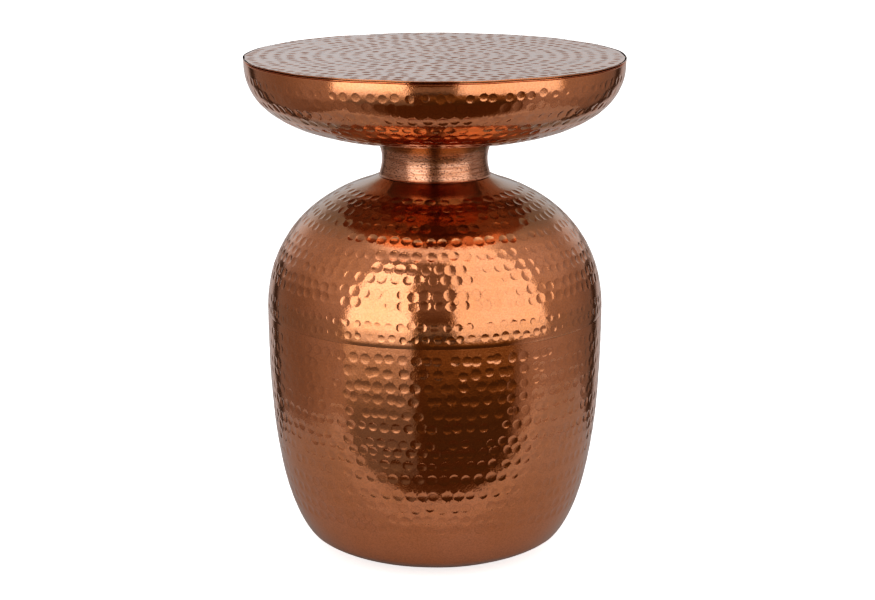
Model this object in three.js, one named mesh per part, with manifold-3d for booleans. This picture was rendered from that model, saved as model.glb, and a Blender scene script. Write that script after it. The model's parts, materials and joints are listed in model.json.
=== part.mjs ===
// A hammered side table with a copper finish. A hollow vase body made of two spun shells stands on four
// felt pads. A turned neck collar joins it to a shallow bowl that a flat disc closes at the top.
// Millimetres, +Z up, origin on the floor under the middle of the table.

import * as THREE from "three";
import { mergeVertices } from "three/addons/utils/BufferGeometryUtils.js";
import Module from "manifold-3d";

const wasm = await Module();
wasm.setup();

// ---- Driving dimensions ----

const HEIGHT = 465; // floor to the top of the disc
const TOP_RADIUS = 175;
const BELLY_RADIUS = 156;
const SEAM_HEIGHT = 228; // where the two body shells meet, at the widest place
const NECK_RADIUS = 49; // the narrowest place of the collar
const BASE_RADIUS = 84; // flat ring under the body
const BOWL_HEIGHT = 391.2; // underside of the bowl's flat bottom

const SHEET = 1.6; // wall of the bowl and of the body shells
const GAP = 0.3; // clearance between pieces that rest on each other
const DISC_THICKNESS = 2.4;
const PAD_THICKNESS = 2.6;
const PLATE_THICKNESS = 2.2; // base plate

const SMOOTH = 44; // segments round a large piece
const MEDIUM = 32; // segments round the collar
const SMALL = 16; // segments round a fastener

// ---- Heights that follow ----

const baseUnderside = PAD_THICKNESS + GAP;
const plateTop = baseUnderside + PLATE_THICKNESS;
const flangeUnderside = plateTop + GAP;
const rimTop = HEIGHT - DISC_THICKNESS - GAP;

// ---- Materials ----

const metal = (color, roughness) =>
  new THREE.MeshStandardMaterial({ color, roughness, metalness: 1 });
const hammeredCopper = metal(0xc46a3f, 0.3);
const brushedCopper = metal(0xbd6f4c, 0.4);
const steel = metal(0x9a9c9e, 0.35);
const felt = new THREE.MeshStandardMaterial({ color: 0x3a2a20, roughness: 0.95, metalness: 0 });

// ---- Outlines: radius across, height up ----

const point = (radius, height) => new THREE.Vector2(radius, height);

// A smooth stretch between two points. An angle is in degrees, 0 outward and 90 up, and a pull says how
// far the curve keeps to it.
function stretch(from, fromAngle, fromPull, to, toAngle, toPull, steps) {
  const handle = (angle, pull) => {
    const a = THREE.MathUtils.degToRad(angle);
    return point(Math.cos(a) * pull, Math.sin(a) * pull);
  };
  const leave = from.clone().add(handle(fromAngle, fromPull));
  const arrive = to.clone().sub(handle(toAngle, toPull));
  return new THREE.CubicBezierCurve(from, leave, arrive, to).getPoints(steps);
}

// An arc of a circle, anticlockwise, its angles in degrees.
function arc(center, radius, startAngle, endAngle, steps) {
  const [start, end] = [startAngle, endAngle].map(THREE.MathUtils.degToRad);
  const curve = new THREE.EllipseCurve(center.x, center.y, radius, radius, start, end);
  return curve.getPoints(steps);
}

// The outline moved sideways, to the left of its direction.
function offset(outline, distance) {
  const left = (a, b) => {
    const along = b.clone().sub(a).normalize();
    return point(-along.y, along.x);
  };
  return outline.map((p, i) => {
    const before = i > 0 ? left(outline[i - 1], p) : left(p, outline[i + 1]);
    const after = i < outline.length - 1 ? left(p, outline[i + 1]) : before;
    const middle = before.clone().add(after);
    return p.clone().add(middle.multiplyScalar(distance / (1 + before.dot(after))));
  });
}

// A sheet of metal whose outside is the outline, with its thickness on the outline's left.
const sheet = (outline) => [...outline, ...offset(outline, SHEET).reverse(), outline[0]];

// ---- Solids ----

const lathe = (profile, segments) =>
  new THREE.LatheGeometry(profile, segments).rotateX(Math.PI / 2);

function ring(inner, outer, low, high, segments) {
  const corners = [[inner, low], [outer, low], [outer, high], [inner, high], [inner, low]];
  return lathe(corners.map(([radius, height]) => point(radius, height)), segments);
}

const rod = (radius, low, high, segments) =>
  lathe([point(0, low), point(radius, low), point(radius, high), point(0, high)], segments);

function extrude(shape, low, high, segments) {
  const options = { depth: high - low, bevelEnabled: false, curveSegments: segments };
  return new THREE.ExtrudeGeometry(shape, options).translate(0, 0, low);
}

const block = (x, y, low, high) =>
  new THREE.BoxGeometry(x, y, high - low).translate(0, 0, (low + high) / 2);

function solid(geometry) {
  const bare = geometry.clone();
  bare.deleteAttribute("normal");
  bare.deleteAttribute("uv");
  const merged = mergeVertices(bare, 1e-3);
  const vertProperties = merged.getAttribute("position").array;
  const triVerts = new Uint32Array(merged.index.array);
  return new wasm.Manifold(new wasm.Mesh({ numProp: 3, vertProperties, triVerts }));
}

function geometryOf(body) {
  const { vertProperties, triVerts } = body.getMesh();
  const shared = new THREE.BufferGeometry()
    .setAttribute("position", new THREE.BufferAttribute(vertProperties, 3))
    .setIndex(new THREE.BufferAttribute(triVerts, 1));
  const faceted = shared.toNonIndexed();
  faceted.computeVertexNormals();
  return faceted;
}

const cut = (geometry, tools) =>
  geometryOf(tools.reduce((body, tool) => body.subtract(solid(tool)), solid(geometry)));
const join = (one, other) => geometryOf(solid(one).add(solid(other)));

// The four places at one radius, the first at an angle in degrees.
function fourPlaces(radius, firstAngle) {
  return [0, 1, 2, 3].map((turn) => {
    const a = THREE.MathUtils.degToRad(firstAngle + turn * 90);
    return new THREE.Vector3(radius * Math.cos(a), radius * Math.sin(a), 0);
  });
}

const moved = (geometry, place) => geometry.clone().translate(place.x, place.y, place.z);

function add(parent, name, geometry, material, place = new THREE.Vector3()) {
  const mesh = new THREE.Mesh(geometry, material);
  mesh.name = name;
  mesh.position.copy(place);
  parent.add(mesh);
}

// ---- Base: plate, countersunk screws with weld nuts, felt pads ----

const PLATE_RADIUS = 66;
const PAD_RADIUS = 7.5;
const PAD_PLACES = fourPlaces(76, 45);
const SCREW_PLACES = fourPlaces(61, 0);
const SCREW_RADIUS = 2;
const SCREW_HEAD_RADIUS = 3.8;
const SCREW_TOP = 12.5;
const NUT_HEIGHT = 3.2;
const NUT_FLATS = 7;

// A countersunk screw, head down, grown all round by a clearance.
function screwShape(clearance, low, high) {
  const head = SCREW_HEAD_RADIUS + clearance;
  const shank = SCREW_RADIUS + clearance;
  const coneTop = plateTop - 0.2;
  return lathe([
    point(0, low),
    point(head, low),
    point(head, coneTop - (head - shank)),
    point(shank, coneTop),
    point(shank, high),
    point(0, high),
  ], SMALL);
}

function baseScrew() {
  const headFace = baseUnderside + 0.2;
  const recessDepth = 1.2;
  const slots = [[4.4, 0.9], [0.9, 4.4]].map(([x, y]) =>
    block(x, y, headFace - 1, headFace + recessDepth));
  return cut(screwShape(0, headFace, SCREW_TOP), slots);
}

function basePlate() {
  const disc = rod(PLATE_RADIUS, baseUnderside, plateTop, SMOOTH);
  const hole = screwShape(GAP, baseUnderside - 1, plateTop + 1);
  return cut(disc, SCREW_PLACES.map((place) => moved(hole, place)));
}

function hexNut(flats, bore, low, high) {
  const corner = flats / Math.sqrt(3);
  const corners = [0, 1, 2, 3, 4, 5].map((i) => {
    const a = (i * Math.PI) / 3;
    return point(corner * Math.cos(a), corner * Math.sin(a));
  });
  const shape = new THREE.Shape(corners);
  shape.holes.push(new THREE.Path().absarc(0, 0, bore, 0, 2 * Math.PI, true));
  return extrude(shape, low, high, SMALL / 2);
}

function baseNut() {
  const low = flangeUnderside + SHEET + GAP;
  return hexNut(NUT_FLATS, SCREW_RADIUS + GAP, low, low + NUT_HEIGHT);
}

// ---- Body: two spun shells that butt at the belly, with a strip inside the joint ----

const LOWER_TURN = point(119.6, 17.2); // where the foot's round turns into the belly's long curve
const LOWER_TURN_ANGLE = 52;
const SHOULDER_END = point(68, 348.2); // where the shoulder runs straight under the collar
const SHOULDER_ANGLE = 180 - 17.8;
const LIP_RADIUS = 45.6; // the shoulder's upturned lip, inside the collar
const LIP_TOP = 364;

function lowerBodyShell() {
  const flangeStart = 56;
  const joggle = PLATE_RADIUS + 2 * GAP;
  const outline = [
    point(flangeStart, flangeUnderside),
    point(joggle, flangeUnderside),
    point(joggle + 1.4, baseUnderside),
    ...stretch(
      point(BASE_RADIUS, baseUnderside), 0, 13,
      LOWER_TURN, LOWER_TURN_ANGLE, 5.4, 4),
    ...stretch(
      LOWER_TURN, LOWER_TURN_ANGLE, 45,
      point(BELLY_RADIUS, SEAM_HEIGHT - GAP / 2), 90, 89, 7).slice(1),
  ];
  const hole = rod(SCREW_RADIUS + 2 * GAP, flangeUnderside - 1, SCREW_TOP, SMALL);
  const holes = SCREW_PLACES.map((place) => moved(hole, place));
  return cut(lathe(sheet(outline), SMOOTH), holes);
}

// The shoulder's straight stretch and its lip, from the outside inwards and up.
function shoulderLip(startRadius) {
  const rise = Math.tan(THREE.MathUtils.degToRad(180 - SHOULDER_ANGLE));
  const on = (radius) => point(radius, SHOULDER_END.y + (SHOULDER_END.x - radius) * rise);
  return [
    on(startRadius),
    ...stretch(on(52), SHOULDER_ANGLE, 4, point(LIP_RADIUS, 360), 90, 4, 4),
    point(LIP_RADIUS, LIP_TOP),
  ];
}

function upperBodyShell() {
  const outline = [
    ...stretch(
      point(BELLY_RADIUS, SEAM_HEIGHT + GAP / 2), 90, 73,
      SHOULDER_END, SHOULDER_ANGLE, 42.5, 8).slice(0, -1),
    ...shoulderLip(SHOULDER_END.x),
  ];
  return lathe(sheet(outline), SMOOTH);
}

function bellyLapRing() {
  const halfWidth = 8;
  const thickness = 1.5;
  const clearOfCurve = 0.9;
  const outer = BELLY_RADIUS - SHEET - clearOfCurve;
  return ring(outer - thickness, outer, SEAM_HEIGHT - halfWidth, SEAM_HEIGHT + halfWidth, SMOOTH);
}

// ---- Neck: a turned collar with an inner ledge that the clamp pulls up against ----

const COLLAR_FOOT_RADIUS = 62;
const COLLAR_HEAD_RADIUS = 55.5;
const COLLAR_HEAD_EDGE = 1.5; // upright edge of the flared head
const COLLAR_WAIST_HEIGHT = 374;
const LEDGE_THICKNESS = 5;
const LEDGE_HOLE_RADIUS = 22;

const collarTop = BOWL_HEIGHT - GAP;
const ledgeUnderside = collarTop - LEDGE_THICKNESS;

function neckCollar() {
  const seat = offset(shoulderLip(COLLAR_FOOT_RADIUS), -GAP);
  const footEdge = seat[0].clone().add(point(0.2, 1));
  const waist = point(NECK_RADIUS, COLLAR_WAIST_HEIGHT);
  const bore = seat.at(-1).x;
  return lathe([
    ...seat.reverse(),
    ...stretch(footEdge, SHOULDER_ANGLE, 11, waist, 90, 14, 6),
    ...stretch(
      waist, 90, 6,
      point(COLLAR_HEAD_RADIUS, collarTop - COLLAR_HEAD_EDGE), 50, 7, 4).slice(1),
    point(COLLAR_HEAD_RADIUS, collarTop),
    point(LEDGE_HOLE_RADIUS, collarTop),
    point(LEDGE_HOLE_RADIUS, ledgeUnderside),
    point(bore, ledgeUnderside),
    point(bore, LIP_TOP),
  ], MEDIUM);
}

// ---- Clamp inside the neck: disc, washers and nut on the top's bolt ----

const BOLT_RADIUS = 5;
const BOLT_END = 364;
const CLAMP_DISC = { radius: 42, thickness: 4 };
const CLAMP_WASHER = { radius: 15, thickness: 2 };
const SPRING_WASHER = { radius: 9, thickness: 2.5 };
const CLAMP_NUT = { flats: 17, height: 8 };

const clampDiscTop = ledgeUnderside - GAP;
const clampDiscLow = clampDiscTop - CLAMP_DISC.thickness;
const washerTop = clampDiscLow - GAP;
const washerLow = washerTop - CLAMP_WASHER.thickness;
const springTop = washerLow - GAP;
const springLow = springTop - SPRING_WASHER.thickness;
const nutTop = springLow - GAP;
const nutLow = nutTop - CLAMP_NUT.height;
const boltHole = BOLT_RADIUS + GAP;

const boltRing = (outer, low, high, segments) => ring(boltHole, outer, low, high, segments);

// A spring washer is a ring with a narrow split, half an angle each side in radians.
function springWasher() {
  const inner = boltHole;
  const outer = SPRING_WASHER.radius;
  const halfSplit = 0.09;
  const shape = new THREE.Shape();
  shape.absarc(0, 0, outer, halfSplit, 2 * Math.PI - halfSplit, false);
  shape.absarc(0, 0, inner, 2 * Math.PI - 2 * halfSplit, 2 * halfSplit, true);
  shape.closePath();
  return extrude(shape, springLow, springTop, SMALL);
}

// ---- Top: bowl, closing disc, and the bolt on its square-holed plate ----

const BOWL_FLAT_RADIUS = 50;
const BOLT_PLATE_RADIUS = 45;
const BOLT_PLATE_THICKNESS = 4;
const BOLT_SQUARE = 10;
const BOLT_HEAD_RADIUS = 11;
const BOLT_HEAD_HEIGHT = 5;

const boltPlateLow = BOWL_HEIGHT + SHEET + GAP;
const boltPlateTop = boltPlateLow + BOLT_PLATE_THICKNESS;
const boltHeadLow = boltPlateTop + GAP;

function topBowl() {
  const rimRadius = TOP_RADIUS - 0.4;
  const bend = 2.2;
  const turnIn = 166;
  const outline = [
    point(BOLT_RADIUS + 1, BOWL_HEIGHT),
    ...stretch(
      point(BOWL_FLAT_RADIUS, BOWL_HEIGHT), 0, 71,
      point(rimRadius, rimTop - bend), 90, 45.5, 8),
    ...arc(point(rimRadius - bend, rimTop - bend), bend, 0, 90, 3).slice(1),
    point(turnIn, rimTop),
  ];
  return lathe(sheet(outline), SMOOTH);
}

function tableTopDisc() {
  const edge = DISC_THICKNESS / 2;
  const low = HEIGHT - DISC_THICKNESS;
  return lathe([
    point(0, low),
    ...arc(point(TOP_RADIUS - edge, low + edge), edge, -90, 90, 6),
    point(0, HEIGHT),
  ], SMOOTH);
}

function boltPlate() {
  const half = BOLT_SQUARE / 2 + GAP;
  const shape = new THREE.Shape().absarc(0, 0, BOLT_PLATE_RADIUS, 0, 2 * Math.PI);
  const corners = [[-half, -half], [-half, half], [half, half], [half, -half]];
  shape.holes.push(new THREE.Path(corners.map(([x, y]) => point(x, y))));
  return extrude(shape, boltPlateLow, boltPlateTop, MEDIUM / 2);
}

// A carriage bolt hanging from its domed head, with a square under the head.
function topBolt() {
  const domed = lathe([
    point(0, BOLT_END),
    point(BOLT_RADIUS - 0.8, BOLT_END),
    point(BOLT_RADIUS, BOLT_END + 0.8),
    point(BOLT_RADIUS, boltHeadLow),
    point(BOLT_HEAD_RADIUS, boltHeadLow),
    ...stretch(
      point(BOLT_HEAD_RADIUS, boltHeadLow + 0.8), 90, 2,
      point(0, boltHeadLow + BOLT_HEAD_HEIGHT), 180, 6, 5),
  ], SMALL);
  const square = block(BOLT_SQUARE, BOLT_SQUARE, boltPlateLow + 0.4, boltHeadLow + 1);
  return join(domed, square);
}

// ---- Assembly ----

const base = new THREE.Group();
add(base, "base_plate", basePlate(), hammeredCopper);
SCREW_PLACES.forEach((place, i) => {
  add(base, `base_screw_${i + 1}`, baseScrew(), steel, place);
  add(base, `base_nut_${i + 1}`, baseNut(), steel, place);
});
PAD_PLACES.forEach((place, i) => {
  add(base, `foot_pad_${i + 1}`, rod(PAD_RADIUS, 0, PAD_THICKNESS, SMALL), felt, place);
});

const body = new THREE.Group();
add(body, "lower_body_shell", lowerBodyShell(), hammeredCopper);
add(body, "upper_body_shell", upperBodyShell(), hammeredCopper);
add(body, "belly_lap_ring", bellyLapRing(), hammeredCopper);

const neck = new THREE.Group();
const clampDisc = boltRing(CLAMP_DISC.radius, clampDiscLow, clampDiscTop, MEDIUM);
const clampWasher = boltRing(CLAMP_WASHER.radius, washerLow, washerTop, SMALL);
add(neck, "neck_collar", neckCollar(), brushedCopper);
add(neck, "clamp_disc", clampDisc, steel);
add(neck, "clamp_washer", clampWasher, steel);
add(neck, "spring_washer", springWasher(), steel);
add(neck, "clamp_nut", hexNut(CLAMP_NUT.flats, boltHole, nutLow, nutTop), steel);

const top = new THREE.Group();
add(top, "top_bowl", topBowl(), hammeredCopper);
add(top, "table_top_disc", tableTopDisc(), hammeredCopper);
add(top, "bolt_plate", boltPlate(), steel);
add(top, "top_bolt", topBolt(), steel);

const table = new THREE.Group();
table.add(base, body, neck, top);

export default table;
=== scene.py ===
import json
import math

import bpy
import numpy as np
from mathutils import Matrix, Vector
from mathutils.geometry import delaunay_2d_cdt


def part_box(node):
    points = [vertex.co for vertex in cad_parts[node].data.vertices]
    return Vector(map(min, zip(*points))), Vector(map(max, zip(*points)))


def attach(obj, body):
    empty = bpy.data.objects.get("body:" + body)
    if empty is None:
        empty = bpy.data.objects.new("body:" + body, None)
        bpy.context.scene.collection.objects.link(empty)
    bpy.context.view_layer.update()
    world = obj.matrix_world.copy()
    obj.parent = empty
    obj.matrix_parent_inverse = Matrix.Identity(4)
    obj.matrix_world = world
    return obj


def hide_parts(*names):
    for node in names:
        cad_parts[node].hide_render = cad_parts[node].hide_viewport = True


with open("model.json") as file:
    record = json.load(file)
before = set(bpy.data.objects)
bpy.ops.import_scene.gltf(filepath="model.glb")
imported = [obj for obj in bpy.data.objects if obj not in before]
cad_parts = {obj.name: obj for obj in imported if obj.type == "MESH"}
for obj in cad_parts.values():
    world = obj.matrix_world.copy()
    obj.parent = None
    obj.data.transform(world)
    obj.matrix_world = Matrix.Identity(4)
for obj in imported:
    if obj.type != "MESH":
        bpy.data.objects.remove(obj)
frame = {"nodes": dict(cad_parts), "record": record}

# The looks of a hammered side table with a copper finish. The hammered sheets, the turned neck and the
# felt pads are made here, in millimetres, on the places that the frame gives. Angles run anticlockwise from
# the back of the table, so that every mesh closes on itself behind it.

MM = 0.001
TURN = 2 * math.pi
scene = bpy.context.scene
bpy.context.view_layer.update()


def node_box(node):
    """A CAD node's lowest and highest corner in millimetres."""
    return [np.array(corner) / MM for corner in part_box(node)]


lower_low, lower_high = node_box("lower_body_shell")
upper_low, upper_high = node_box("upper_body_shell")
collar_high = node_box("neck_collar")[1]
bowl_low, bowl_high = node_box("top_bowl")
disc_low, disc_high = node_box("table_top_disc")

# Driving sizes of the sheets and the neck. A point is its radius and height, and angles along an outline
# are in degrees, 0 outward and 90 up.
SHEET = 1.6
COLUMNS = 360
BASE_RADIUS = 84
FOOT_TURN = (119.6, 17.2)
FOOT_TURN_ANGLE = 52
BELLY_RADIUS = upper_high[0]
SEAM_HEIGHT = (lower_high[2] + upper_low[2]) / 2
SEAM_STEP = 0.1
BAND_TOP = 247.5
SHOULDER_END = (68, 348.2)
SHOULDER_ANGLE = 162.2
NECK_CORNER = (51.8, 355.2)
LIP_RADIUS = 45.6
GROOVE_TOP = disc_high[2] - 0.85
GROOVE_LOW = disc_high[2] - 1.5

# Rows of hammer marks, by length along the outline: up from the foot, up from the seam, out from the neck.
# The first DEEP_ROWS of the lower shell are struck deeper than the rest.
LOWER_ROWS = [80.5, 92, 105, 117, 134, 147, 158.5, 168, 182, 195, 208, 219, 233, 244.6]
DEEP_ROWS = 9
FAINT_ROW = 68
SEAM_ROWS = [8.8, 18.7]
UPPER_ROWS = [37.6, 47.5, 60.5, 70.3, 82, 97, 111.5, 123.8, 136, 148]
BOWL_ROWS = [12, 24, 36, 48, 60, 72.5, 85, 100, 112.5, 125]
BOWL_FAINT_ROW = 137
BOWL_EDGE_ROW = 147.5

# A hammer mark. Distances from its middle are shares of its half width.
HALF_WIDTH = 4.75
REACH = 9.5
FAR_AWAY = 9
CAP_POWER = 2.7
CAP_SOFTNESS = 0.035
LIP_PLACE, LIP_WIDTH, LIP_HEIGHT = 1.12, 0.11, 0.09
EDGE_WIDTH = 0.1
FULL_EDGE_DEPTH = 0.2

# The mesh of a hammered face: rings of points round each mark, as shares and counts, the spacing of the
# points between the marks, and how close points come to a border and to each other.
MARK_RINGS = ((0, 1), (0.45, 6), (0.74, 10), (0.92, 13), (1.02, 14), (1.14, 13))
FILLER = 4.2
BORDER_MARGIN = 0.9
LEAST_GAP = 0.5


# ---- Rings and outlines ----

UP = np.array([0, 0, 1.0])


def ring_angles(columns):
    """The angle of each vertex of a ring."""
    return np.arange(columns) / columns * TURN


def outward_at(angle):
    """The level direction away from the axis at each angle."""
    return np.stack([-np.sin(angle), np.cos(angle), np.zeros(len(angle))], 1)


def stretch(start, start_angle, start_pull, end, end_angle, end_pull, steps=120):
    """A smooth stretch between two points. Angles are in degrees, 0 outward and 90 up; a pull says how far
    the curve keeps to its angle."""
    def ahead(angle, pull):
        return pull * np.array([math.cos(math.radians(angle)), math.sin(math.radians(angle))])
    a, d = np.array(start, float), np.array(end, float)
    b, c = a + ahead(start_angle, start_pull), d - ahead(end_angle, end_pull)
    t = np.linspace(0, 1, steps + 1)[:, None]
    return (1 - t) ** 3 * a + 3 * (1 - t) ** 2 * t * b + 3 * (1 - t) * t ** 2 * c + t ** 3 * d


def arc(center, radius, start_angle, end_angle, steps=8):
    """Points on a round stretch about a center."""
    t = np.radians(np.linspace(start_angle, end_angle, steps + 1))
    return np.array(center) + radius * np.stack([np.cos(t), np.sin(t)], 1)


class Outline:
    """A smooth line that knows its place and direction at any length along it."""

    def __init__(self, points):
        self.points = np.array(points, float)
        steps = np.diff(self.points, axis=0)
        lengths = np.hypot(steps[:, 0], steps[:, 1])
        self.lengths = np.concatenate([[0], np.cumsum(lengths)])
        self.total = self.lengths[-1]
        ways = steps / lengths[:, None]
        joined = np.vstack([ways[:1], ways[:-1] + ways[1:], ways[-1:]])
        self.ways = joined / np.linalg.norm(joined, axis=1)[:, None]

    def _along(self, values, s):
        return np.stack([np.interp(s, self.lengths, values[:, i]) for i in (0, 1)], -1)

    def place(self, s):
        """The points at lengths along the outline."""
        return self._along(self.points, s)

    def way(self, s):
        """The directions at lengths along the outline."""
        way = self._along(self.ways, s)
        return way / np.linalg.norm(way, axis=-1, keepdims=True)

    def stretch_share(self, s):
        """The length along the outline as a turn, so that angle and share make a map without shear."""
        samples = 2000
        fine = np.linspace(0, self.total, samples)
        radius = np.maximum(self.place(fine)[:, 0], 1)
        share = np.concatenate([[0], np.cumsum(np.diff(fine) * 2 / (radius[1:] + radius[:-1]))])
        return np.interp(s, fine, share)


# ---- Hammer marks ----

class Row:
    """One row of dents: their lengths along the outline, angles, half widths and depths."""

    def __init__(self, rng, s, radius, spacing, size=HALF_WIDTH, depth=0.34, uneven=0.14):
        count = max(1, round(TURN * radius / spacing))
        shift = rng.uniform(0, 1)
        jitter = rng.uniform(-uneven, uneven, count)
        self.angle = ((np.arange(count) + shift + jitter) / count % 1) * TURN
        self.angle.sort()
        tilt, phase = rng.uniform(0.2, 0.9), rng.uniform(0, TURN)
        self.s = s + tilt * np.sin(self.angle + phase) + rng.normal(0, 0.55, count)
        self.across = size * rng.uniform(0.88, 1.08, count)
        self.along = self.across * rng.uniform(0.86, 1.06, count)
        strength = rng.uniform(0.72, 1.12, count)
        weak_share, weak = 0.07, 0.35
        strength[rng.uniform(0, 1, count) < weak_share] *= weak
        self.depth = depth * strength
        self.middle = s


def rows_at(rng, outline, lengths, spacing, **kind):
    """Rows of dents at lengths along the outline."""
    return [Row(rng, s, outline.place(s)[0], spacing, **kind) for s in lengths]


def wrapped(angle):
    """The angle brought to within half a turn of 0."""
    return (angle + math.pi) % TURN - math.pi


class Relief:
    """How far the hammered face stands out from its outline: dents, long slight waves, and a rib between
    each row and the next."""

    def __init__(self, rows, seed, flat=False, swell=0.10, rib=0.035):
        self.rows = sorted(rows, key=lambda row: row.middle)
        self.flat = flat
        self.rib = rib
        rng = np.random.default_rng(seed)
        count = 14
        self.turns = rng.integers(2, 15, count)
        self.waves = TURN / rng.uniform(38, 110, count)
        self.phases = rng.uniform(0, TURN, (2, count))
        self.swell = swell / math.sqrt(count) * rng.uniform(0.5, 1.4, count)

    def marks(self, s, angle, radius):
        """At each point: the depth of its dent, the lip that the hammer raised, and how near it is to the
        edge of the mark, from 0 to 1."""
        depth, lip, edge = np.zeros(len(s)), np.zeros(len(s)), np.zeros(len(s))
        for row in self.rows:
            near = np.flatnonzero(np.abs(s - row.middle) < REACH)
            if not len(near):
                continue
            count = len(row.angle)
            nearest = np.searchsorted(row.angle, angle[near])
            for step in range(-2, 2) if count > 3 else range(count):
                j = (nearest + step) % count
                turn = wrapped(angle[near] - row.angle[j])
                sideways = radius[near] * np.sin(turn)
                sagitta = radius[near] * (1 - np.cos(turn)) if self.flat else 0
                lengthways = s[near] - row.s[j] - sagitta
                t = np.hypot(sideways / row.across[j], lengthways / row.along[j])
                t[np.abs(turn) > math.pi / 2] = FAR_AWAY
                cap = CAP_SOFTNESS * np.logaddexp(0, (1 - t ** CAP_POWER) / CAP_SOFTNESS) * row.depth[j]
                rim = LIP_HEIGHT * row.depth[j] * np.exp(-((t - LIP_PLACE) / LIP_WIDTH) ** 2)
                line = np.exp(-((t - 1) / EDGE_WIDTH) ** 2) * min(1, row.depth.mean() / FULL_EDGE_DEPTH)
                depth[near] = np.maximum(depth[near], cap)
                lip[near] = np.maximum(lip[near], rim)
                edge[near] = np.maximum(edge[near], line)
        return depth, lip, edge

    def __call__(self, s, angle, radius):
        depth, lip, _ = self.marks(s, angle, radius)
        uneven = sum(
            a * np.sin(m * angle + p) * np.cos(w * s + q)
            for a, m, w, p, q in zip(self.swell, self.turns, self.waves, *self.phases))
        middles = [row.middle for row in self.rows]
        phase = np.interp(s, middles, np.arange(len(middles)))
        inside = (s > middles[0]) & (s < middles[-1])
        ribs = np.where(inside, -self.rib * np.cos(TURN * phase), -self.rib)
        if self.flat:
            calm_middle = 40
            uneven = uneven * np.clip(radius / calm_middle, 0, 1)
        return lip - depth + uneven + ribs


# ---- Hammered skins ----

def mark_points(rows):
    """Points that follow every dent, more of them near its edge: their lengths along the outline, the
    angle of their dent, and how far beside its middle they lie."""
    found = []
    for row in rows:
        for t, count in MARK_RINGS:
            shift = 0.5 if count % 4 == 2 else 0
            for i in range(count):
                a = TURN * (i + shift) / count
                found.append(np.stack([
                    row.s + t * row.along * math.sin(a),
                    row.angle,
                    t * row.across * math.cos(a),
                ], 1))
    return np.vstack(found)


def filler_points(outline, relief):
    """Points in staggered rings over the whole outline, without those that a dent touches."""
    found_s, found_angle = [], []
    for i, at in enumerate(np.arange(FILLER, outline.total - FILLER / 2, FILLER * 0.87)):
        count = max(1, round(TURN * outline.place(at)[0] / FILLER))
        found_angle.append((np.arange(count) + 0.5 * (i % 2) + 0.25) / count * TURN)
        found_s.append(np.full(count, at))
    s, angle = np.concatenate(found_s), np.concatenate(found_angle)
    depth, lip, _ = relief.marks(s, angle, outline.place(s)[:, 0])
    clear = (depth < 1e-4) & (lip < 2e-4)
    return s[clear], angle[clear]


def thin_out(s, angle, radius, gap):
    """Keeps one point of those that lie closer together than the gap."""
    cell = np.stack([np.floor(s / gap), np.floor(angle * np.maximum(radius, 1) / gap)], 1)
    _, first = np.unique(cell.astype(np.int64), axis=0, return_index=True)
    return np.sort(first)


def inner_points(outline, relief):
    """The points of a skin between its borders, as lengths along the outline and angles."""
    marks = mark_points(relief.rows)
    mark_radius = np.maximum(outline.place(marks[:, 0])[:, 0], 1)
    fill_s, fill_angle = filler_points(outline, relief)
    s = np.concatenate([marks[:, 0], fill_s])
    angle = np.concatenate([marks[:, 1] + marks[:, 2] / mark_radius, fill_angle]) % TURN
    radius = outline.place(s)[:, 0]
    keep = (s > BORDER_MARGIN) & (s < outline.total - BORDER_MARGIN)
    if not relief.flat:
        keep &= (angle * radius > BORDER_MARGIN) & ((TURN - angle) * radius > BORDER_MARGIN)
    s, angle, radius = s[keep], angle[keep], radius[keep]
    keep = thin_out(s, angle, radius, LEAST_GAP)
    return s[keep], angle[keep]


def triangulated(chart, same):
    """Triangles over the points of a flat chart. Points that are the same place share a vertex."""
    made = delaunay_2d_cdt([Vector(p) for p in chart.tolist()], [], [], 0, 1e-9, True)
    source = np.array([ids[0] for ids in made[3]])
    triangles = same[source[np.array(made[2])]]
    real = (triangles[:, 0] != triangles[:, 1]) & (triangles[:, 1] != triangles[:, 2])
    real &= triangles[:, 0] != triangles[:, 2]
    return triangles[real]


class Skin:
    """A hammered face as a mesh: places, normals, triangles, border rings of vertices, and how deep in a
    dent and how near a dent's edge each vertex is."""


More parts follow.
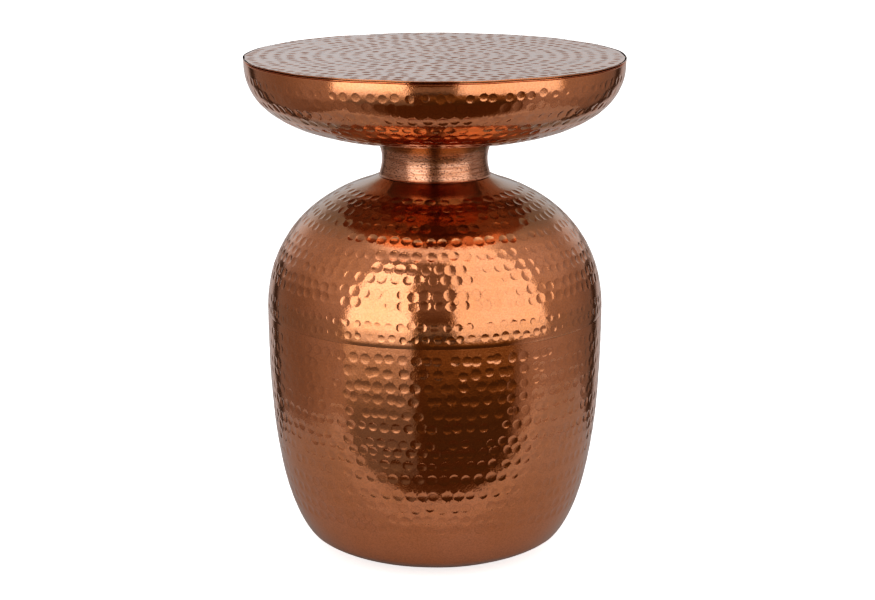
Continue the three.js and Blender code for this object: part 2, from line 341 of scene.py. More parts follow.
def hammered_skin(outline, relief, columns):
    """The face that the outline sweeps, triangulated finely round each dent."""
    total = outline.total
    s, angle = inner_points(outline, relief)
    ring = ring_angles(columns)
    if relief.flat:
        s = np.concatenate([np.full(columns, total), s])
        angle = np.concatenate([ring, angle])
        chart = np.stack([-s * np.sin(angle), s * np.cos(angle)], 1)
        same = np.arange(len(s))
        borders = [np.arange(columns)]
    else:
        seam = np.linspace(0, total, max(2, round(total / FILLER)) + 1)[1:-1]
        s = np.concatenate([np.zeros(columns), np.full(columns, total), seam, s])
        angle = np.concatenate([ring, ring, np.zeros(len(seam)), angle])
        doubles = np.concatenate([[0, columns], 2 * columns + np.arange(len(seam))])
        share = outline.stretch_share(np.concatenate([s, s[doubles]]))
        chart = np.stack([np.concatenate([angle, np.full(len(doubles), TURN)]), share], 1)
        same = np.concatenate([np.arange(len(s)), doubles])
        borders = [np.arange(columns), np.arange(columns, 2 * columns)]

    skin = Skin()
    skin.triangles = triangulated(chart, same)
    skin.borders = borders
    radius = outline.place(s)[:, 0]
    small = 0.08
    rise = (relief(s + small, angle, radius) - relief(s - small, angle, radius)) / (2 * small)
    turn = small / np.maximum(radius, 0.5)
    twist = (relief(s, angle + turn, radius) - relief(s, angle - turn, radius)) / (2 * small)
    around = np.stack([-np.cos(angle), -np.sin(angle), np.zeros(len(s))], 1)
    outward = outward_at(angle)
    if relief.flat:
        along, normal = outward, np.tile(UP, (len(s), 1))
    else:
        way = outline.way(s)
        along = way[:, :1] * outward + way[:, 1:] * UP
        normal = way[:, 1:] * outward - way[:, :1] * UP
    base = radius[:, None] * outward + outline.place(s)[:, 1:] * UP
    skin.places = base + relief(s, angle, radius)[:, None] * normal
    facing = normal - rise[:, None] * along - twist[:, None] * around
    skin.normals = facing / np.linalg.norm(facing, axis=1)[:, None]
    skin.hollow, _, skin.edge = relief.marks(s, angle, radius)
    return skin


# ---- Closed pieces from skins and plain turned stretches ----

def band_faces(lower, upper):
    """Quads from one ring of vertices up to the next."""
    return np.stack([lower, np.roll(lower, -1), np.roll(upper, -1), upper], 1)


def profile_normals(profile, smooth=40):
    """For each step of a profile, its outward normal at its start and its end. Where the bend is less than
    the smooth angle in degrees, both sides share one."""
    steps = np.diff(profile, axis=0)
    ways = steps / np.maximum(np.linalg.norm(steps, axis=1), 1e-9)[:, None]
    flat = np.stack([ways[:, 1], -ways[:, 0]], 1)
    starts, ends = flat.copy(), flat.copy()
    for i in range(1, len(flat)):
        if flat[i] @ flat[i - 1] > math.cos(math.radians(smooth)):
            middle = flat[i] + flat[i - 1]
            ends[i - 1] = starts[i] = middle / np.linalg.norm(middle)
    return starts, ends


def build(name, places, faces, normals, shades=None):
    """An object from places in millimetres, faces, and a normal for each corner of each face, or None for
    plain smooth ones. Shades are numbers that the material reads at each place."""
    mesh = bpy.data.meshes.new(name)
    mesh.from_pydata((np.asarray(places) * MM).tolist(), [], faces)
    mesh.update()
    mesh.shade_smooth()
    if normals is not None:
        mesh.normals_split_custom_set(normals)
    for shade, values in (shades or {}).items():
        attribute = mesh.attributes.new(shade, "FLOAT", "POINT")
        attribute.data.foreach_set("value", np.asarray(values, np.float32))
    thing = bpy.data.objects.new(name, mesh)
    scene.collection.objects.link(thing)
    return thing


def uneven_rim(places):
    """Bends the top slightly out of true, more so towards its rim, as handwork is. A wave is its size, its
    count round the rim, and its phase."""
    angle = np.arctan2(-places[:, 0], places[:, 1])
    share = (np.hypot(places[:, 0], places[:, 1]) / bowl_high[0]) ** 3
    outward_waves = ((0.30, 3, 1), (0.22, 7, 4), (0.12, 17, 0))
    upward_waves = ((0.28, 2, 2), (0.16, 9, 1), (0.10, 19, 3))
    outward, upward = (
        sum(size * np.sin(count * angle + phase) for size, count, phase in waves)
        for waves in (outward_waves, upward_waves))
    bent = places.copy()
    bent[:, :2] *= (1 + share * outward / bowl_high[0])[:, None]
    bent[:, 2] += share * upward
    return bent


def painted_shade_under_bowl(radius):
    """How much painted shade the shoulder gets under the bowl: most round the neck, and none further out.
    """
    bright_from, fade, most = 132, 28, 0.75
    return np.clip((bright_from - radius) / fade, 0, most)


def painted_shade_over_shoulder(radius):
    """How much painted shade the bowl gets: a ring of its underside, over the shoulder, is darkened to dim
    what it reflects.
    """
    middle, width, most = 156, 4, 0.75
    return most * np.exp(-((radius - middle) / width) ** 2)


def painted_shade_amount(places, painted_shade_at):
    """How much painted shade each place gets, from 0 to 1. The band above the seam gets a little, and the
    groove under the disc gets all of it."""
    height = places[:, 2]
    near = 0.05
    painted_shade = painted_shade_at(np.hypot(places[:, 0], places[:, 1])) if painted_shade_at else np.zeros(len(places))
    painted_shade = np.where((height > SEAM_HEIGHT + SEAM_STEP) & (height < BAND_TOP), 0.3, painted_shade)
    return np.where((height > GROOVE_LOW - near) & (height < GROOVE_TOP + near), 1.0, painted_shade)


def ring_point(places):
    """The mean radius and height of a ring of places."""
    return [np.linalg.norm(places[:, :2], axis=1).mean(), places[:, 2].mean()]


def closed_piece(name, skin, profile, painted_shade_at=None, warp=None):
    """The skin, closed by a turned profile from its last border round to its first, or to the axis. The
    painted shade follows a function of the radius, and the warp moves the finished places."""
    ids = np.arange(COLUMNS)
    after = np.roll(ids, -1)
    outward = outward_at(ring_angles(COLUMNS))
    to_axis = profile[-1][0] < 1e-6
    inner = profile[:-1] if to_axis else profile
    places, faces = [skin.places], skin.triangles.tolist()
    normals = [skin.normals[skin.triangles].reshape(-1, 3)]
    count = len(skin.places)
    rings = [skin.borders[-1]]
    for r, z in inner:
        places.append(r * outward + z * UP)
        rings.append(count + ids)
        count += COLUMNS
    line = [ring_point(skin.places[skin.borders[-1]]), *inner]
    if to_axis:
        line.append(profile[-1])
    else:
        rings.append(skin.borders[0])
        line.append(ring_point(skin.places[skin.borders[0]]))
    starts, ends = profile_normals(np.array(line))

    def spun(normal, around):
        return normal[0] * outward[around] + normal[1] * UP

    for i in range(len(rings) - 1):
        faces += band_faces(rings[i], rings[i + 1]).tolist()
        corners = [spun(starts[i], ids), spun(starts[i], after), spun(ends[i], after), spun(ends[i], ids)]
        normals.append(np.stack(corners, 1).reshape(-1, 3))
    if to_axis:
        places.append(np.array([[0, 0, profile[-1][1]]]))
        faces += np.stack([rings[-1], np.roll(rings[-1], -1), np.full(COLUMNS, count)], 1).tolist()
        corners = [spun(starts[-1], ids), spun(starts[-1], after), spun(ends[-1], ids)]
        normals.append(np.stack(corners, 1).reshape(-1, 3))
        count += 1
    places = np.vstack(places)
    rest = np.zeros(count - len(skin.hollow))
    shades = {
        "hollow": np.concatenate([skin.hollow, rest]),
        "edge": np.concatenate([skin.edge, rest]),
        "painted_shade": painted_shade_amount(places, painted_shade_at),
    }
    if warp:
        places = warp(places)
    return build(name, places, faces, np.vstack(normals), shades)


def offset(points, distance):
    """The line moved to its left."""
    line = Outline(points)
    return line.points + distance * np.stack([-line.ways[:, 1], line.ways[:, 0]], 1)


# ---- Materials ----

COPPER = (0.88, 0.386, 0.172)
WORN_COPPER = (0.92, 0.420, 0.212)
DARK_COPPER = (0.46, 0.172, 0.065)
# The dark brown that painted shade is mixed toward.
PAINTED_SHADE_BROWN = (0.37, 0.195, 0.068)
NECK_COPPER = (0.70, 0.34, 0.20)
PALE_COPPER = (0.84, 0.50, 0.35)
PIT_COPPER = (0.12, 0.042, 0.020)
ROLLED_COPPER = (0.55, 0.25, 0.12)
DARK_ZINC, PALE_ZINC = (0.56, 0.57, 0.58), (0.70, 0.70, 0.69)
DARK_FELT, PALE_FELT = (0.045, 0.028, 0.018), (0.12, 0.08, 0.055)


def new_material(name):
    """A material, its nodes and links, and its shader."""
    material = bpy.data.materials.new(name)
    material.use_nodes = True
    nodes, links = material.node_tree.nodes, material.node_tree.links
    return material, nodes, links, nodes["Principled BSDF"]


def place_vector(nodes, links, scale=(1, 1, 1)):
    """Row coordinates in metres, stretched by a scale."""
    coordinates = nodes.new("ShaderNodeTexCoord")
    mapping = nodes.new("ShaderNodeMapping")
    mapping.inputs["Scale"].default_value = scale
    links.new(coordinates.outputs["Object"], mapping.inputs["Vector"])
    return mapping.outputs["Vector"]


def noise(nodes, links, vector, scale, detail=3.0, roughness=0.55):
    """Soft noise. A scale of 100 has clouds about a centimetre across."""
    texture = nodes.new("ShaderNodeTexNoise")
    texture.inputs["Scale"].default_value = scale
    texture.inputs["Detail"].default_value = detail
    texture.inputs["Roughness"].default_value = roughness
    links.new(vector, texture.inputs["Vector"])
    return texture.outputs["Fac"]


def remap(nodes, links, value, low, high, to_low, to_high):
    """A smooth passage from one number to another while the value goes from low to high."""
    node = nodes.new("ShaderNodeMapRange")
    node.interpolation_type = "SMOOTHSTEP"
    for key, number in (("From Min", low), ("From Max", high), ("To Min", to_low), ("To Max", to_high)):
        node.inputs[key].default_value = number
    links.new(value, node.inputs["Value"])
    return node.outputs["Result"]


def mixed(nodes, links, factor, one, other):
    """A blend of two colours, each a tuple or a socket."""
    node = nodes.new("ShaderNodeMix")
    node.data_type = "RGBA"
    links.new(factor, node.inputs["Factor"])
    for key, color in (("A", one), ("B", other)):
        socket = next(i for i in node.inputs if i.name == key and i.type == "RGBA")
        if isinstance(color, tuple):
            socket.default_value = (*color, 1)
        else:
            links.new(color, socket)
    return next(o for o in node.outputs if o.type == "RGBA")


def bump(nodes, links, height, strength, distance, below=None):
    """A bump of a depth in metres, on top of the one below."""
    node = nodes.new("ShaderNodeBump")
    node.inputs["Strength"].default_value = strength
    node.inputs["Distance"].default_value = distance
    links.new(height, node.inputs["Height"])
    if below is not None:
        links.new(below, node.inputs["Normal"])
    return node.outputs["Normal"]


def math_node(nodes, links, kind, *values):
    """The result of a sum over sockets and numbers."""
    node = nodes.new("ShaderNodeMath")
    node.operation = kind
    for socket, value in zip(node.inputs, values):
        if isinstance(value, (int, float)):
            socket.default_value = value
        else:
            links.new(value, socket)
    return node.outputs[0]


def painted(nodes, name):
    """A shade that the mesh carries."""
    node = nodes.new("ShaderNodeAttribute")
    node.attribute_name = name
    return node.outputs["Fac"]


def hammered_copper(name, hollow_tone=0.12, edge_tone=0.38, rough=1.0):
    """Copper plating under lacquer: uneven in tone, browner in and round the dents, with a fine grain. The
    rough number scales how far its highlights spread."""
    material, nodes, links, shader = new_material(name)
    vector = place_vector(nodes, links)
    clouds = noise(nodes, links, vector, 22, 4)
    grain = noise(nodes, links, vector, 620, 4, 0.7)
    specks = noise(nodes, links, vector, 900, 2, 0.5)
    patchy = math_node(nodes, links, "MULTIPLY", painted(nodes, "edge"),
                       remap(nodes, links, noise(nodes, links, vector, 45, 2), 0.42, 0.62, 0.2, 1))
    layers = (
        (painted(nodes, "hollow"), 0.02, 0.30, hollow_tone, DARK_COPPER),
        (patchy, 0.0, 1.0, edge_tone, DARK_COPPER),
        (grain, 0.40, 0.64, 0.28, DARK_COPPER),
        (specks, 0.58, 0.76, 0.38, DARK_COPPER),
        # Painted shade: the shoulder under the bowl, a ring of the bowl's underside, the band above the
        # seam and the groove under the top are mixed toward a dark brown.
        (painted(nodes, "painted_shade"), 0.0, 1.0, 0.85, PAINTED_SHADE_BROWN),
    )
    tone = mixed(nodes, links, remap(nodes, links, clouds, 0.36, 0.68, 0, 1), COPPER, WORN_COPPER)
    for source, low, high, most, color in layers:
        tone = mixed(nodes, links, remap(nodes, links, source, low, high, 0, most), tone, color)
    links.new(tone, shader.inputs["Base Color"])
    spread = remap(nodes, links, grain, 0.3, 0.75, 0.09 * rough, 0.15 * rough)
    links.new(spread, shader.inputs["Roughness"])
    peel = bump(nodes, links, noise(nodes, links, vector, 330, 2), 0.35, 0.00016)
    fine = bump(nodes, links, specks, 0.6, 0.00006, peel)
    links.new(bump(nodes, links, grain, 0.5, 0.00008, fine), shader.inputs["Normal"])
    shader.inputs["Metallic"].default_value = 1
    shader.inputs["Coat Weight"].default_value = 1
    shader.inputs["Coat Roughness"].default_value = 0.09 * rough
    shader.inputs["Coat IOR"].default_value = 1.6
    return material


def brushed_copper():
    """Turned copper: fine scratches round the neck, small dark pits between them."""
    material, nodes, links, shader = new_material("brushed_copper")
    lines = noise(nodes, links, place_vector(nodes, links, (60, 60, 1300)), 1, 3, 0.65)
    broad = noise(nodes, links, place_vector(nodes, links, (18, 18, 420)), 1, 2, 0.5)
    pits = noise(nodes, links, place_vector(nodes, links, (1, 1, 1.8)), 620, 2, 0.5)
    grain = noise(nodes, links, place_vector(nodes, links), 800, 2)
    tone = mixed(nodes, links, remap(nodes, links, lines, 0.3, 0.7, 0, 1), NECK_COPPER, PALE_COPPER)
    tone = mixed(nodes, links, remap(nodes, links, broad, 0.45, 0.62, 0, 0.45), tone, DARK_COPPER)
    tone = mixed(nodes, links, remap(nodes, links, pits, 0.56, 0.64, 0, 0.85), tone, PIT_COPPER)
    # Painted shade: the head of the neck, under the bowl, is mixed toward a dark brown.
    tone = mixed(nodes, links, remap(nodes, links, painted(nodes, "painted_shade"), 0, 1, 0, 0.7), tone, PAINTED_SHADE_BROWN)
    links.new(tone, shader.inputs["Base Color"])
    links.new(remap(nodes, links, lines, 0.25, 0.75, 0.13, 0.26), shader.inputs["Roughness"])
    scratch = bump(nodes, links, lines, 0.9, 0.00014)
    dimple = bump(nodes, links, grain, 0.4, 0.0001, scratch)
    links.new(bump(nodes, links, pits, 0.6, 0.0002, dimple), shader.inputs["Normal"])
    shader.inputs["Metallic"].default_value = 1
    shader.inputs["Coat Weight"].default_value = 0.8
    shader.inputs["Coat Roughness"].default_value = 0.18
    return material


def plain_copper():
    """Rolled sheet with a dull copper plating."""
    material, nodes, links, shader = new_material("plain_copper")
    vector = place_vector(nodes, links, (8, 260, 8))
    streaks = noise(nodes, links, vector, 3, 4)
    clouds = noise(nodes, links, place_vector(nodes, links), 35, 4)
    tone = mixed(nodes, links, remap(nodes, links, clouds, 0.35, 0.7, 0, 1), ROLLED_COPPER, DARK_COPPER)
    links.new(tone, shader.inputs["Base Color"])
    links.new(remap(nodes, links, streaks, 0.3, 0.7, 0.34, 0.5), shader.inputs["Roughness"])
    links.new(bump(nodes, links, streaks, 0.3, 0.0001), shader.inputs["Normal"])
    shader.inputs["Metallic"].default_value = 1
    return material


def zinc_steel():
    """Zinc-plated steel, slightly mottled."""
    material, nodes, links, shader = new_material("zinc_steel")
    vector = place_vector(nodes, links)
    mottle = noise(nodes, links, vector, 300, 3)
    tone = mixed(nodes, links, remap(nodes, links, mottle, 0.35, 0.65, 0, 1), DARK_ZINC, PALE_ZINC)
    links.new(tone, shader.inputs["Base Color"])
    links.new(remap(nodes, links, mottle, 0.3, 0.7, 0.28, 0.42), shader.inputs["Roughness"])
    shader.inputs["Metallic"].default_value = 1
    return material


def brown_felt():
    """Pressed wool felt with loose fibres."""
    material, nodes, links, shader = new_material("brown_felt")
    fibres = noise(nodes, links, place_vector(nodes, links, (1, 1, 3)), 1800, 5, 0.7)
    tone = mixed(nodes, links, remap(nodes, links, fibres, 0.35, 0.65, 0, 1), DARK_FELT, PALE_FELT)
    links.new(tone, shader.inputs["Base Color"])
    links.new(bump(nodes, links, fibres, 0.8, 0.0004), shader.inputs["Normal"])
    shader.inputs["Roughness"].default_value = 0.95
    shader.inputs["Sheen Weight"].default_value = 0.4
    return material


hammered = hammered_copper("hammered_copper")
# The top's dents and their edges are painted far darker than the body's: painted shade standing in for the
# dark that its dents reflect at a low angle.
hammered_flat = hammered_copper("hammered_flat_copper", 0.75, 0.75, 0.75)
brushed = brushed_copper()
plain = plain_copper()
zinc = zinc_steel()
felt = brown_felt()


# ---- Camera ----

def make_camera():
    """Level across, looking down at the table from two metres."""
    tilt = 13.56
    data = bpy.data.cameras.new("camera")
    data.sensor_width = 36
    data.lens = 90.9
    camera = bpy.data.objects.new("camera", data)
    camera.location = (0.0025, -2.015, 0.721)
    camera.rotation_euler = (math.radians(90 - tilt), 0, 0)
    scene.collection.objects.link(camera)
    scene.camera = camera


make_camera()


# ---- Pieces ----

def keep(piece, node, material, slot):
    """Gives the piece its material and its place in the frame."""
    piece.data.materials.append(material)
    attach(piece, "root")
    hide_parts(node)


def lower_body():
    """The lower shell: a plain foot, rows of dents up to the seam, and a flat ring and a flange inside."""
    rng = np.random.default_rng(11)
    line = np.vstack([
        stretch((BASE_RADIUS, lower_low[2]), 0, 13, FOOT_TURN, FOOT_TURN_ANGLE, 5.4),
        stretch(FOOT_TURN, FOOT_TURN_ANGLE, 45, (BELLY_RADIUS, SEAM_HEIGHT), 90, 89)[1:],
    ])
    outline = Outline(line)
    rows = rows_at(rng, outline, LOWER_ROWS[:DEEP_ROWS], 11, depth=0.36)
    rows += rows_at(rng, outline, LOWER_ROWS[DEEP_ROWS:], 11, depth=0.23, uneven=0.35)
    rows += rows_at(rng, outline, [FAINT_ROW], 12, depth=0.08)
    skin = hammered_skin(outline, Relief(rows, 21, rib=0.012), COLUMNS)
    inside = offset(line, SHEET)[::-1][::12]
    underside = lower_low[2]
    flange = underside + 2.5
    profile = [
        *inside[:-1],
        (BASE_RADIUS - 1, underside + SHEET),
        (69.2, underside + SHEET),
        (67.4, flange + SHEET),
        (56, flange + SHEET),
        (56, flange),
        (66.6, flange),
        (68, underside),
    ]
    piece = closed_piece("hammered_lower_body", skin, profile)
    keep(piece, "lower_body_shell", hammered, "hammered_copper")


def upper_body():
    """The upper shell: two close rows above the seam, then rows of dents over the shoulder."""
    rng = np.random.default_rng(12)
    start = (BELLY_RADIUS, SEAM_HEIGHT + SEAM_STEP)
    rolled_edge = (BELLY_RADIUS + 0.15, SEAM_HEIGHT + 1.6)
    line = np.vstack([
        stretch(start, 80, 0.7, rolled_edge, 90, 0.7, 8),
        stretch(rolled_edge, 90, 71, SHOULDER_END, SHOULDER_ANGLE, 42.5)[1:],
        stretch(SHOULDER_END, SHOULDER_ANGLE, 6, NECK_CORNER, 153, 4, 12)[1:],
    ])
    outline = Outline(line)
    rows = rows_at(rng, outline, SEAM_ROWS, 10.2, size=3.5, depth=0.3)
    rows += rows_at(rng, outline, UPPER_ROWS, 11, depth=0.42)
    skin = hammered_skin(outline, Relief(rows, 22), COLUMNS)
    lip_start = (NECK_CORNER[0] - 0.5, NECK_CORNER[1] + 0.2)
    lip = np.vstack([
        stretch(lip_start, 150, 3, (LIP_RADIUS, 360), 90, 2, 6),
        [(LIP_RADIUS, upper_high[2])],
    ])
    inner = offset(np.vstack([line[::12], lip]), SHEET)[::-1]
    piece = closed_piece("hammered_upper_body", skin, [*lip, *inner], painted_shade_under_bowl)
    keep(piece, "upper_body_shell", hammered, "hammered_copper")


def bowl():
    """The bowl under the top: rows of dents out from the neck, then a plain band below the rim."""
    rng = np.random.default_rng(13)
    rim_radius, rim_top, low = bowl_high[0], bowl_high[2], bowl_low[2]
    bend, fold, ledge, bolt_hole = 2.2, 0.7, 166, 6
    line = stretch((50, low), 0, 71, (rim_radius, rim_top - bend), 90, 45.5)
    outline = Outline(line)
    rows = rows_at(rng, outline, BOWL_ROWS, 11.5, depth=0.48)
    rows += rows_at(rng, outline, [BOWL_FAINT_ROW], 12, depth=0.2)
    rows += rows_at(rng, outline, [BOWL_EDGE_ROW], 12, size=3.9, depth=0.28, uneven=0.2)
    skin = hammered_skin(outline, Relief(rows, 23), COLUMNS)
    profile = [
        (rim_radius, rim_top - fold),
        *arc((rim_radius - fold, rim_top - fold), fold, 0, 90, 5)[1:],
        (ledge, rim_top),
        (ledge, rim_top - SHEET),
        (rim_radius - bend, rim_top - SHEET),
        *offset(line, SHEET)[::-1][::12],
        (bolt_hole, low + SHEET),
        (bolt_hole, low),
    ]
    piece = closed_piece("hammered_bowl", skin, profile, painted_shade_over_shoulder, uneven_rim)
    keep(piece, "top_bowl", hammered, "hammered_copper")


def table_top():
    """The closing disc: rings of dents on a flat face, a rounded edge, and a groove round its side."""
    rng = np.random.default_rng(14)
    radius, top, low = disc_high[0], disc_high[2], disc_low[2]
    round_edge, groove_depth, side, chamfer, boss = 0.35, 4, 0.15, 0.3, 80
    outline = Outline([(r, top) for r in np.linspace(0, radius - round_edge, 60)])
    rows = rows_at(rng, outline, np.linspace(12.5, outline.total - 7, 14), 12, depth=0.46)
    rows.append(Row(rng, 0, 1, 12))
    skin = hammered_skin(outline, Relief(rows, 24, flat=True, swell=0.16), COLUMNS)
    profile = [
        *arc((radius - round_edge, top - round_edge), round_edge, 90, -90, 8)[1:],
        (radius - groove_depth, GROOVE_TOP),
        (radius - groove_depth, GROOVE_LOW),
        (radius - 0.5, GROOVE_LOW - 0.1),
        (radius - side, GROOVE_LOW - chamfer),
        (radius - side, low + chamfer),
        (radius - 0.5, low),
        (boss, low),
        (0, low),
    ]
    piece = closed_piece("hammered_top", skin, profile, warp=uneven_rim)
    keep(piece, "table_top_disc", hammered_flat, "hammered_copper")


def neck():
    """The turned collar: a tight corner at the foot, a slight waist, a flared head with a round edge."""
    columns, gap = 200, 0.3
    top = collar_high[2]
    foot = (NECK_CORNER[0] + 0.2, NECK_CORNER[1] + gap - 0.1)
    corner, waist, head, edge = (50.9, 357.6), (48.8, 371), 54.6, 1.15
    outside = np.vstack([
        stretch((foot[0], foot[1] + 0.1), SHOULDER_ANGLE, 0.5, corner, 94, 0.5, 8),
        stretch(corner, 104, 4, waist, 90, 6, 8)[1:],
        stretch(waist, 90, 6, (head, top - 2 * edge), 52, 6, 12)[1:],
        arc((head, top - edge), edge, -80, 90, 8)[1:],
    ])
    bolt_hole, ledge, bore = 22, top - 5, LIP_RADIUS + gap
    inside = [(bolt_hole, top), (bolt_hole, ledge), (bore, ledge), (bore, 361), (50, 357), foot]
    profile = np.array([*outside, *inside, outside[0]])
    starts, ends = profile_normals(profile)
    outward = outward_at(ring_angles(columns))
    places = np.vstack([r * outward + z * UP for r, z in profile[:-1]])
    ids = np.arange(columns)
    after = np.roll(ids, -1)
    count = len(profile) - 1
    faces, normals = [], []
    for i in range(count):
        faces += band_faces(i * columns + ids, (i + 1) % count * columns + ids).tolist()
        corners = [
            normal[0] * outward[around] + normal[1] * UP
            for normal, around in ((starts[i], ids), (starts[i], after), (ends[i], after), (ends[i], ids))]
        normals.append(np.stack(corners, 1).reshape(-1, 3))
    # Painted shade: the neck is darkened from 11 mm below its top, under the bowl, but not on its rounded
    # top edge.
    shade_start, shade_fade = top - 11, 4
    painted_shade = np.clip((places[:, 2] - shade_start) / shade_fade, 0, 1) * (places[:, 2] < top - 2.4)
    piece = build("turned_neck", places, faces, np.vstack(normals), {"painted_shade": painted_shade})
    keep(piece, "neck_collar", brushed, "brushed_copper")


def foot_pad(node):
    """A felt pad stuck under the base: a soft disc, rounder below than above, with an uneven edge."""
    low, high = node_box(node)
    radius = (high[0] - low[0]) / 2
    columns, under, over = 72, 0.9, 0.4
    side = np.array([
        (radius * 0.5, low[2]),
        *arc((radius - under, low[2] + under), under, -90, 0, 8),
        *arc((radius - over, high[2] - over), over, 0, 90, 6),
        (radius * 0.5, high[2]),
    ])
    rng = np.random.default_rng(int(node[-1]))
    angle = ring_angles(columns)
    waves = sum(np.sin(k * angle + rng.uniform(0, TURN)) for k in (2, 5, 9, 14)) / 4
    shrink = 1 - 0.015 * (1 + waves)
    middle = np.array([(low[0] + high[0]) / 2, (low[1] + high[1]) / 2, 0])
    outward = outward_at(angle) * shrink[:, None]
    places = [middle + r * outward + z * UP for r, z in side]
    faces = []
    ids = np.arange(columns)
    for i in range(len(places) - 1):
        faces += band_faces(i * columns + ids, (i + 1) * columns + ids).tolist()
    bottom = len(places) * columns
    top = bottom + 1
    last = (len(places) - 1) * columns
    faces += [[bottom, (i + 1) % columns, i] for i in range(columns)]
    faces += [[top, last + i, last + (i + 1) % columns] for i in range(columns)]
    places += [middle[None] + low[2] * UP, middle[None] + high[2] * UP]
    piece = build("felt_" + node, np.vstack(places), faces, None)
    keep(piece, node, felt, "felt")


lower_body()
upper_body()
bowl()
table_top()
neck()
for number in range(1, 5):
    foot_pad(f"foot_pad_{number}")

NODE_MATERIALS = {
    "hammered_copper": hammered,
    "brushed_copper": brushed,
    "plain_copper": plain,
    "steel": zinc,
    "felt": felt,
}
for part in frame["record"]["subparts"]:
    node = frame["nodes"][part["node"]]
    node.data.materials.clear()
    node.data.materials.append(NODE_MATERIALS[part["material_slot"]])


# ---- Studio ----

def diffuse(name, shade, glow):
    """A matt grey surface that also glows slightly."""
    material, _, _, shader = new_material(name)
    shader.inputs["Base Color"].default_value = (shade, shade, shade, 1)
    shader.inputs["Roughness"].default_value = 1
    shader.inputs["Specular IOR Level"].default_value = 0
    shader.inputs["Emission Color"].default_value = (1, 1, 1, 1)
    shader.inputs["Emission Strength"].default_value = glow
    return material


def plane(name, across, along, z, material):
    """A level rectangle, from its lowest to its highest place across and along, in metres."""
    (x0, x1), (y0, y1) = across, along
    mesh = bpy.data.meshes.new(name)
    mesh.from_pydata([(x0, y0, z), (x1, y0, z), (x1, y1, z), (x0, y1, z)], [], [(0, 1, 2, 3)])
    mesh.materials.append(material)
    thing = bpy.data.objects.new(name, mesh)
    scene.collection.objects.link(thing)
    return thing


def panel_light(name, color, strengths, heights):
    """Light whose strength passes smoothly from the first to the last between two heights."""
    material = bpy.data.materials.new(name)
    material.use_nodes = True
    nodes, links = material.node_tree.nodes, material.node_tree.links
    nodes.clear()
    out = nodes.new("ShaderNodeOutputMaterial")
    light = nodes.new("ShaderNodeEmission")
    coordinates = nodes.new("ShaderNodeTexCoord")
    split = nodes.new("ShaderNodeSeparateXYZ")
    light.inputs["Color"].default_value = (*color, 1)
    links.new(coordinates.outputs["Object"], split.inputs["Vector"])
    links.new(remap(nodes, links, split.outputs["Z"], *heights, *strengths), light.inputs["Strength"])
    links.new(light.outputs["Emission"], out.inputs["Surface"])
    return material


def softbox(name, lower_turns, upper_turns, heights, material, distance=1.2):
    """A curved panel round the table, between the first and last angle of its lower and upper edge. Angles
    are in degrees, 0 towards the camera and 90 to the right. The camera doesn't see the panel itself."""
    steps = 12
    mesh = bpy.data.meshes.new(name)
    places = [
        (distance * math.sin(a), -distance * math.cos(a), height)
        for turns, height in zip((lower_turns, upper_turns), heights)
        for a in np.radians(np.linspace(*turns, steps + 1))]
    mesh.from_pydata(places, [], [(i, i + 1, i + steps + 2, i + steps + 1) for i in range(steps)])
    mesh.materials.append(material)
    thing = bpy.data.objects.new(name, mesh)
    scene.collection.objects.link(thing)
    thing.visible_camera = False
    thing.visible_shadow = False


def studio():
    """The pale floor that the camera sees, the white table that only reflections see, and the panels."""
    floor = plane("floor", (-12, 12), (-12, 12), -0.0005, diffuse("floor", 0.85, 0.55))
    floor.visible_glossy = False
    floor.visible_diffuse = False
    table_places = (
        ("shooting_table", (-0.46, 0.64), (-0.19, 0.22), 0.58, 0.045),
        ("table_edge", (-0.46, 0.64), (-0.255, -0.19), 0.62, 0.08),
        ("table_rear", (-0.30, 0.30), (0.22, 1.2), 0.50, 0.09),
    )
    for name, across, along, shade, glow in table_places:
        plane(name, across, along, -0.0007, diffuse(name, shade, glow)).visible_camera = False

    softbox("softbox_right", (13, 76), (12, 62), (0.025, 3.0),
            panel_light("light_right", (1, 0.98, 0.96), (0.78, 0.90), (0.02, 0.25)))
    softbox("softbox_left", (-60, -14), (-50, -16.5), (-0.03, 1.42),
            panel_light("light_left", (1, 1, 1), (0.70, 1.22), (0.0, 0.28)))
    softbox("gap_wall", (-22, 18), (-22, 18), (0.0, 0.27),
            panel_light("light_gap", (1, 0.90, 0.80), (0.06, 0.24), (0.02, 0.2)), distance=1.3)
    softbox("spill_left", (-58, -12), (-60, -14), (-0.6, -0.03),
            panel_light("light_spill", (1, 0.93, 0.85), (0.17, 0.40), (-0.26, -0.1)))
    softbox("spill_right", (-7, 52), (-7, 52), (-0.5, -0.005),
            panel_light("light_spill_right", (1, 0.66, 0.31), (0.078, 0.19), (-0.24, -0.06)))


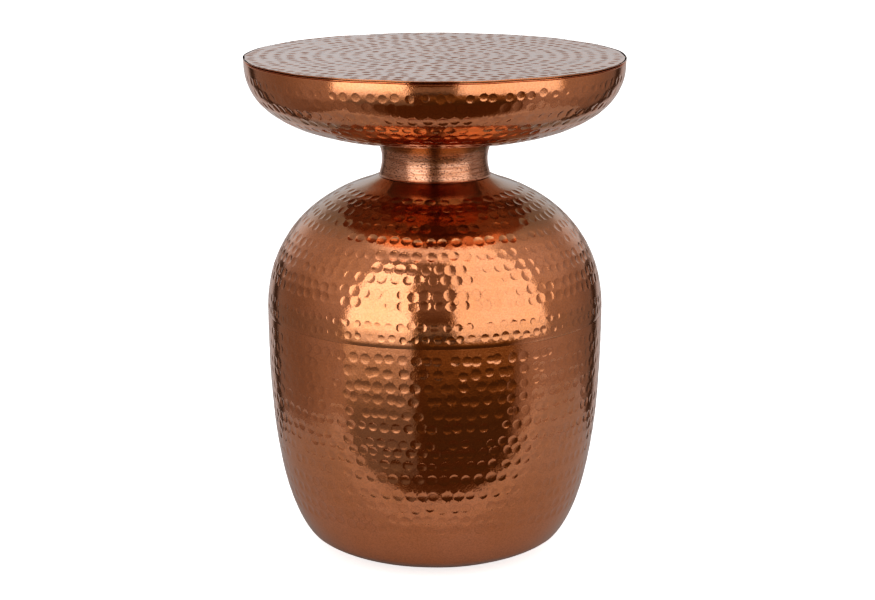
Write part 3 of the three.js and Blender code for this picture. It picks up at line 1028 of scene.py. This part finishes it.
def surroundings():
    """The rest of the studio, as the metal mirrors it: a dark floor in front, lighter walls at the sides,
    a bright wall behind the table, and a dark strip between each side and the back. Turns are in degrees,
    0 towards the camera and 90 to the right. A height is the sine of the angle above the horizon. Seen
    directly, the studio is plain and pale."""
    world = bpy.data.worlds.new("studio")
    scene.world = world
    world.use_nodes = True
    nodes, links = world.node_tree.nodes, world.node_tree.links
    nodes.clear()
    coordinates = nodes.new("ShaderNodeTexCoord")
    split = nodes.new("ShaderNodeSeparateXYZ")
    links.new(coordinates.outputs["Generated"], split.inputs["Vector"])
    across, along, height = (split.outputs[axis] for axis in "XYZ")

    def product(*values):
        return math_node(nodes, links, "MULTIPLY", *values)

    def total(first, *others):
        for other in others:
            first = math_node(nodes, links, "ADD", first, other)
        return first

    def step(value, low, high, to_low, to_high):
        return remap(nodes, links, value, low, high, to_low, to_high)

    turn = math_node(nodes, links, "MULTIPLY",
                     math_node(nodes, links, "ARCTAN2", across, product(along, -1)), math.degrees(1))
    round_turn = math_node(nodes, links, "ABSOLUTE", turn)

    right = product(step(turn, 50, 68, 0, 0.21), step(turn, 95, 135, 1, 0.45))
    left = product(step(turn, -58, -40, 0.21, 0), step(turn, -110, -70, 0.55, 1))
    sides = product(total(right, left), step(height, -0.80, -0.45, 0.6, 1))
    behind = product(step(round_turn, 120, 155, 0, 1), step(height, -0.03, 0.09, 0.1, 1))
    rear = product(behind, step(height, 0.27, 0.45, 0.28, 0.04))
    ceiling = step(height, 0.80, 0.95, 0.0, 0.6)
    upper = product(step(height, -0.05, 0.45, 0.0, 0.12), step(round_turn, 120, 155, 1, 0.4))
    strip = product(step(height, 0.0, 0.12, 1, 0),
                    product(step(round_turn, 133, 141, 0, 1), step(round_turn, 144, 152, 1, 0)))
    low_rear = product(step(height, -0.12, -0.05, 1, 0), step(round_turn, 144, 152, 0, 0.15))
    walls = product(total(sides, rear, ceiling, upper), step(strip, 0, 1, 1, 0.12))

    dim = nodes.new("ShaderNodeBackground")
    dim.inputs["Color"].default_value = (1, 0.56, 0.24, 1)
    links.new(step(strip, 0, 1, 0.088, 0.035), dim.inputs["Strength"])
    lit = nodes.new("ShaderNodeBackground")
    cool = product(behind, step(height, 0.28, 0.40, 1, 0))
    links.new(mixed(nodes, links, cool, (0.96, 0.98, 1.04), (0.88, 1, 1.10)), lit.inputs["Color"])
    links.new(total(walls, low_rear), lit.inputs["Strength"])
    mirrored = nodes.new("ShaderNodeAddShader")
    links.new(dim.outputs["Background"], mirrored.inputs[0])
    links.new(lit.outputs["Background"], mirrored.inputs[1])
    seen = nodes.new("ShaderNodeBackground")
    seen.inputs["Color"].default_value = (0.9, 0.9, 0.9, 1)
    path = nodes.new("ShaderNodeLightPath")
    mix = nodes.new("ShaderNodeMixShader")
    links.new(path.outputs["Is Camera Ray"], mix.inputs["Fac"])
    links.new(mirrored.outputs["Shader"], mix.inputs[1])
    links.new(seen.outputs["Background"], mix.inputs[2])
    out = nodes.new("ShaderNodeOutputWorld")
    links.new(mix.outputs["Shader"], out.inputs["Surface"])


studio()
surroundings()
scene.view_settings.view_transform = "Standard"
scene.view_settings.look = "High Contrast"
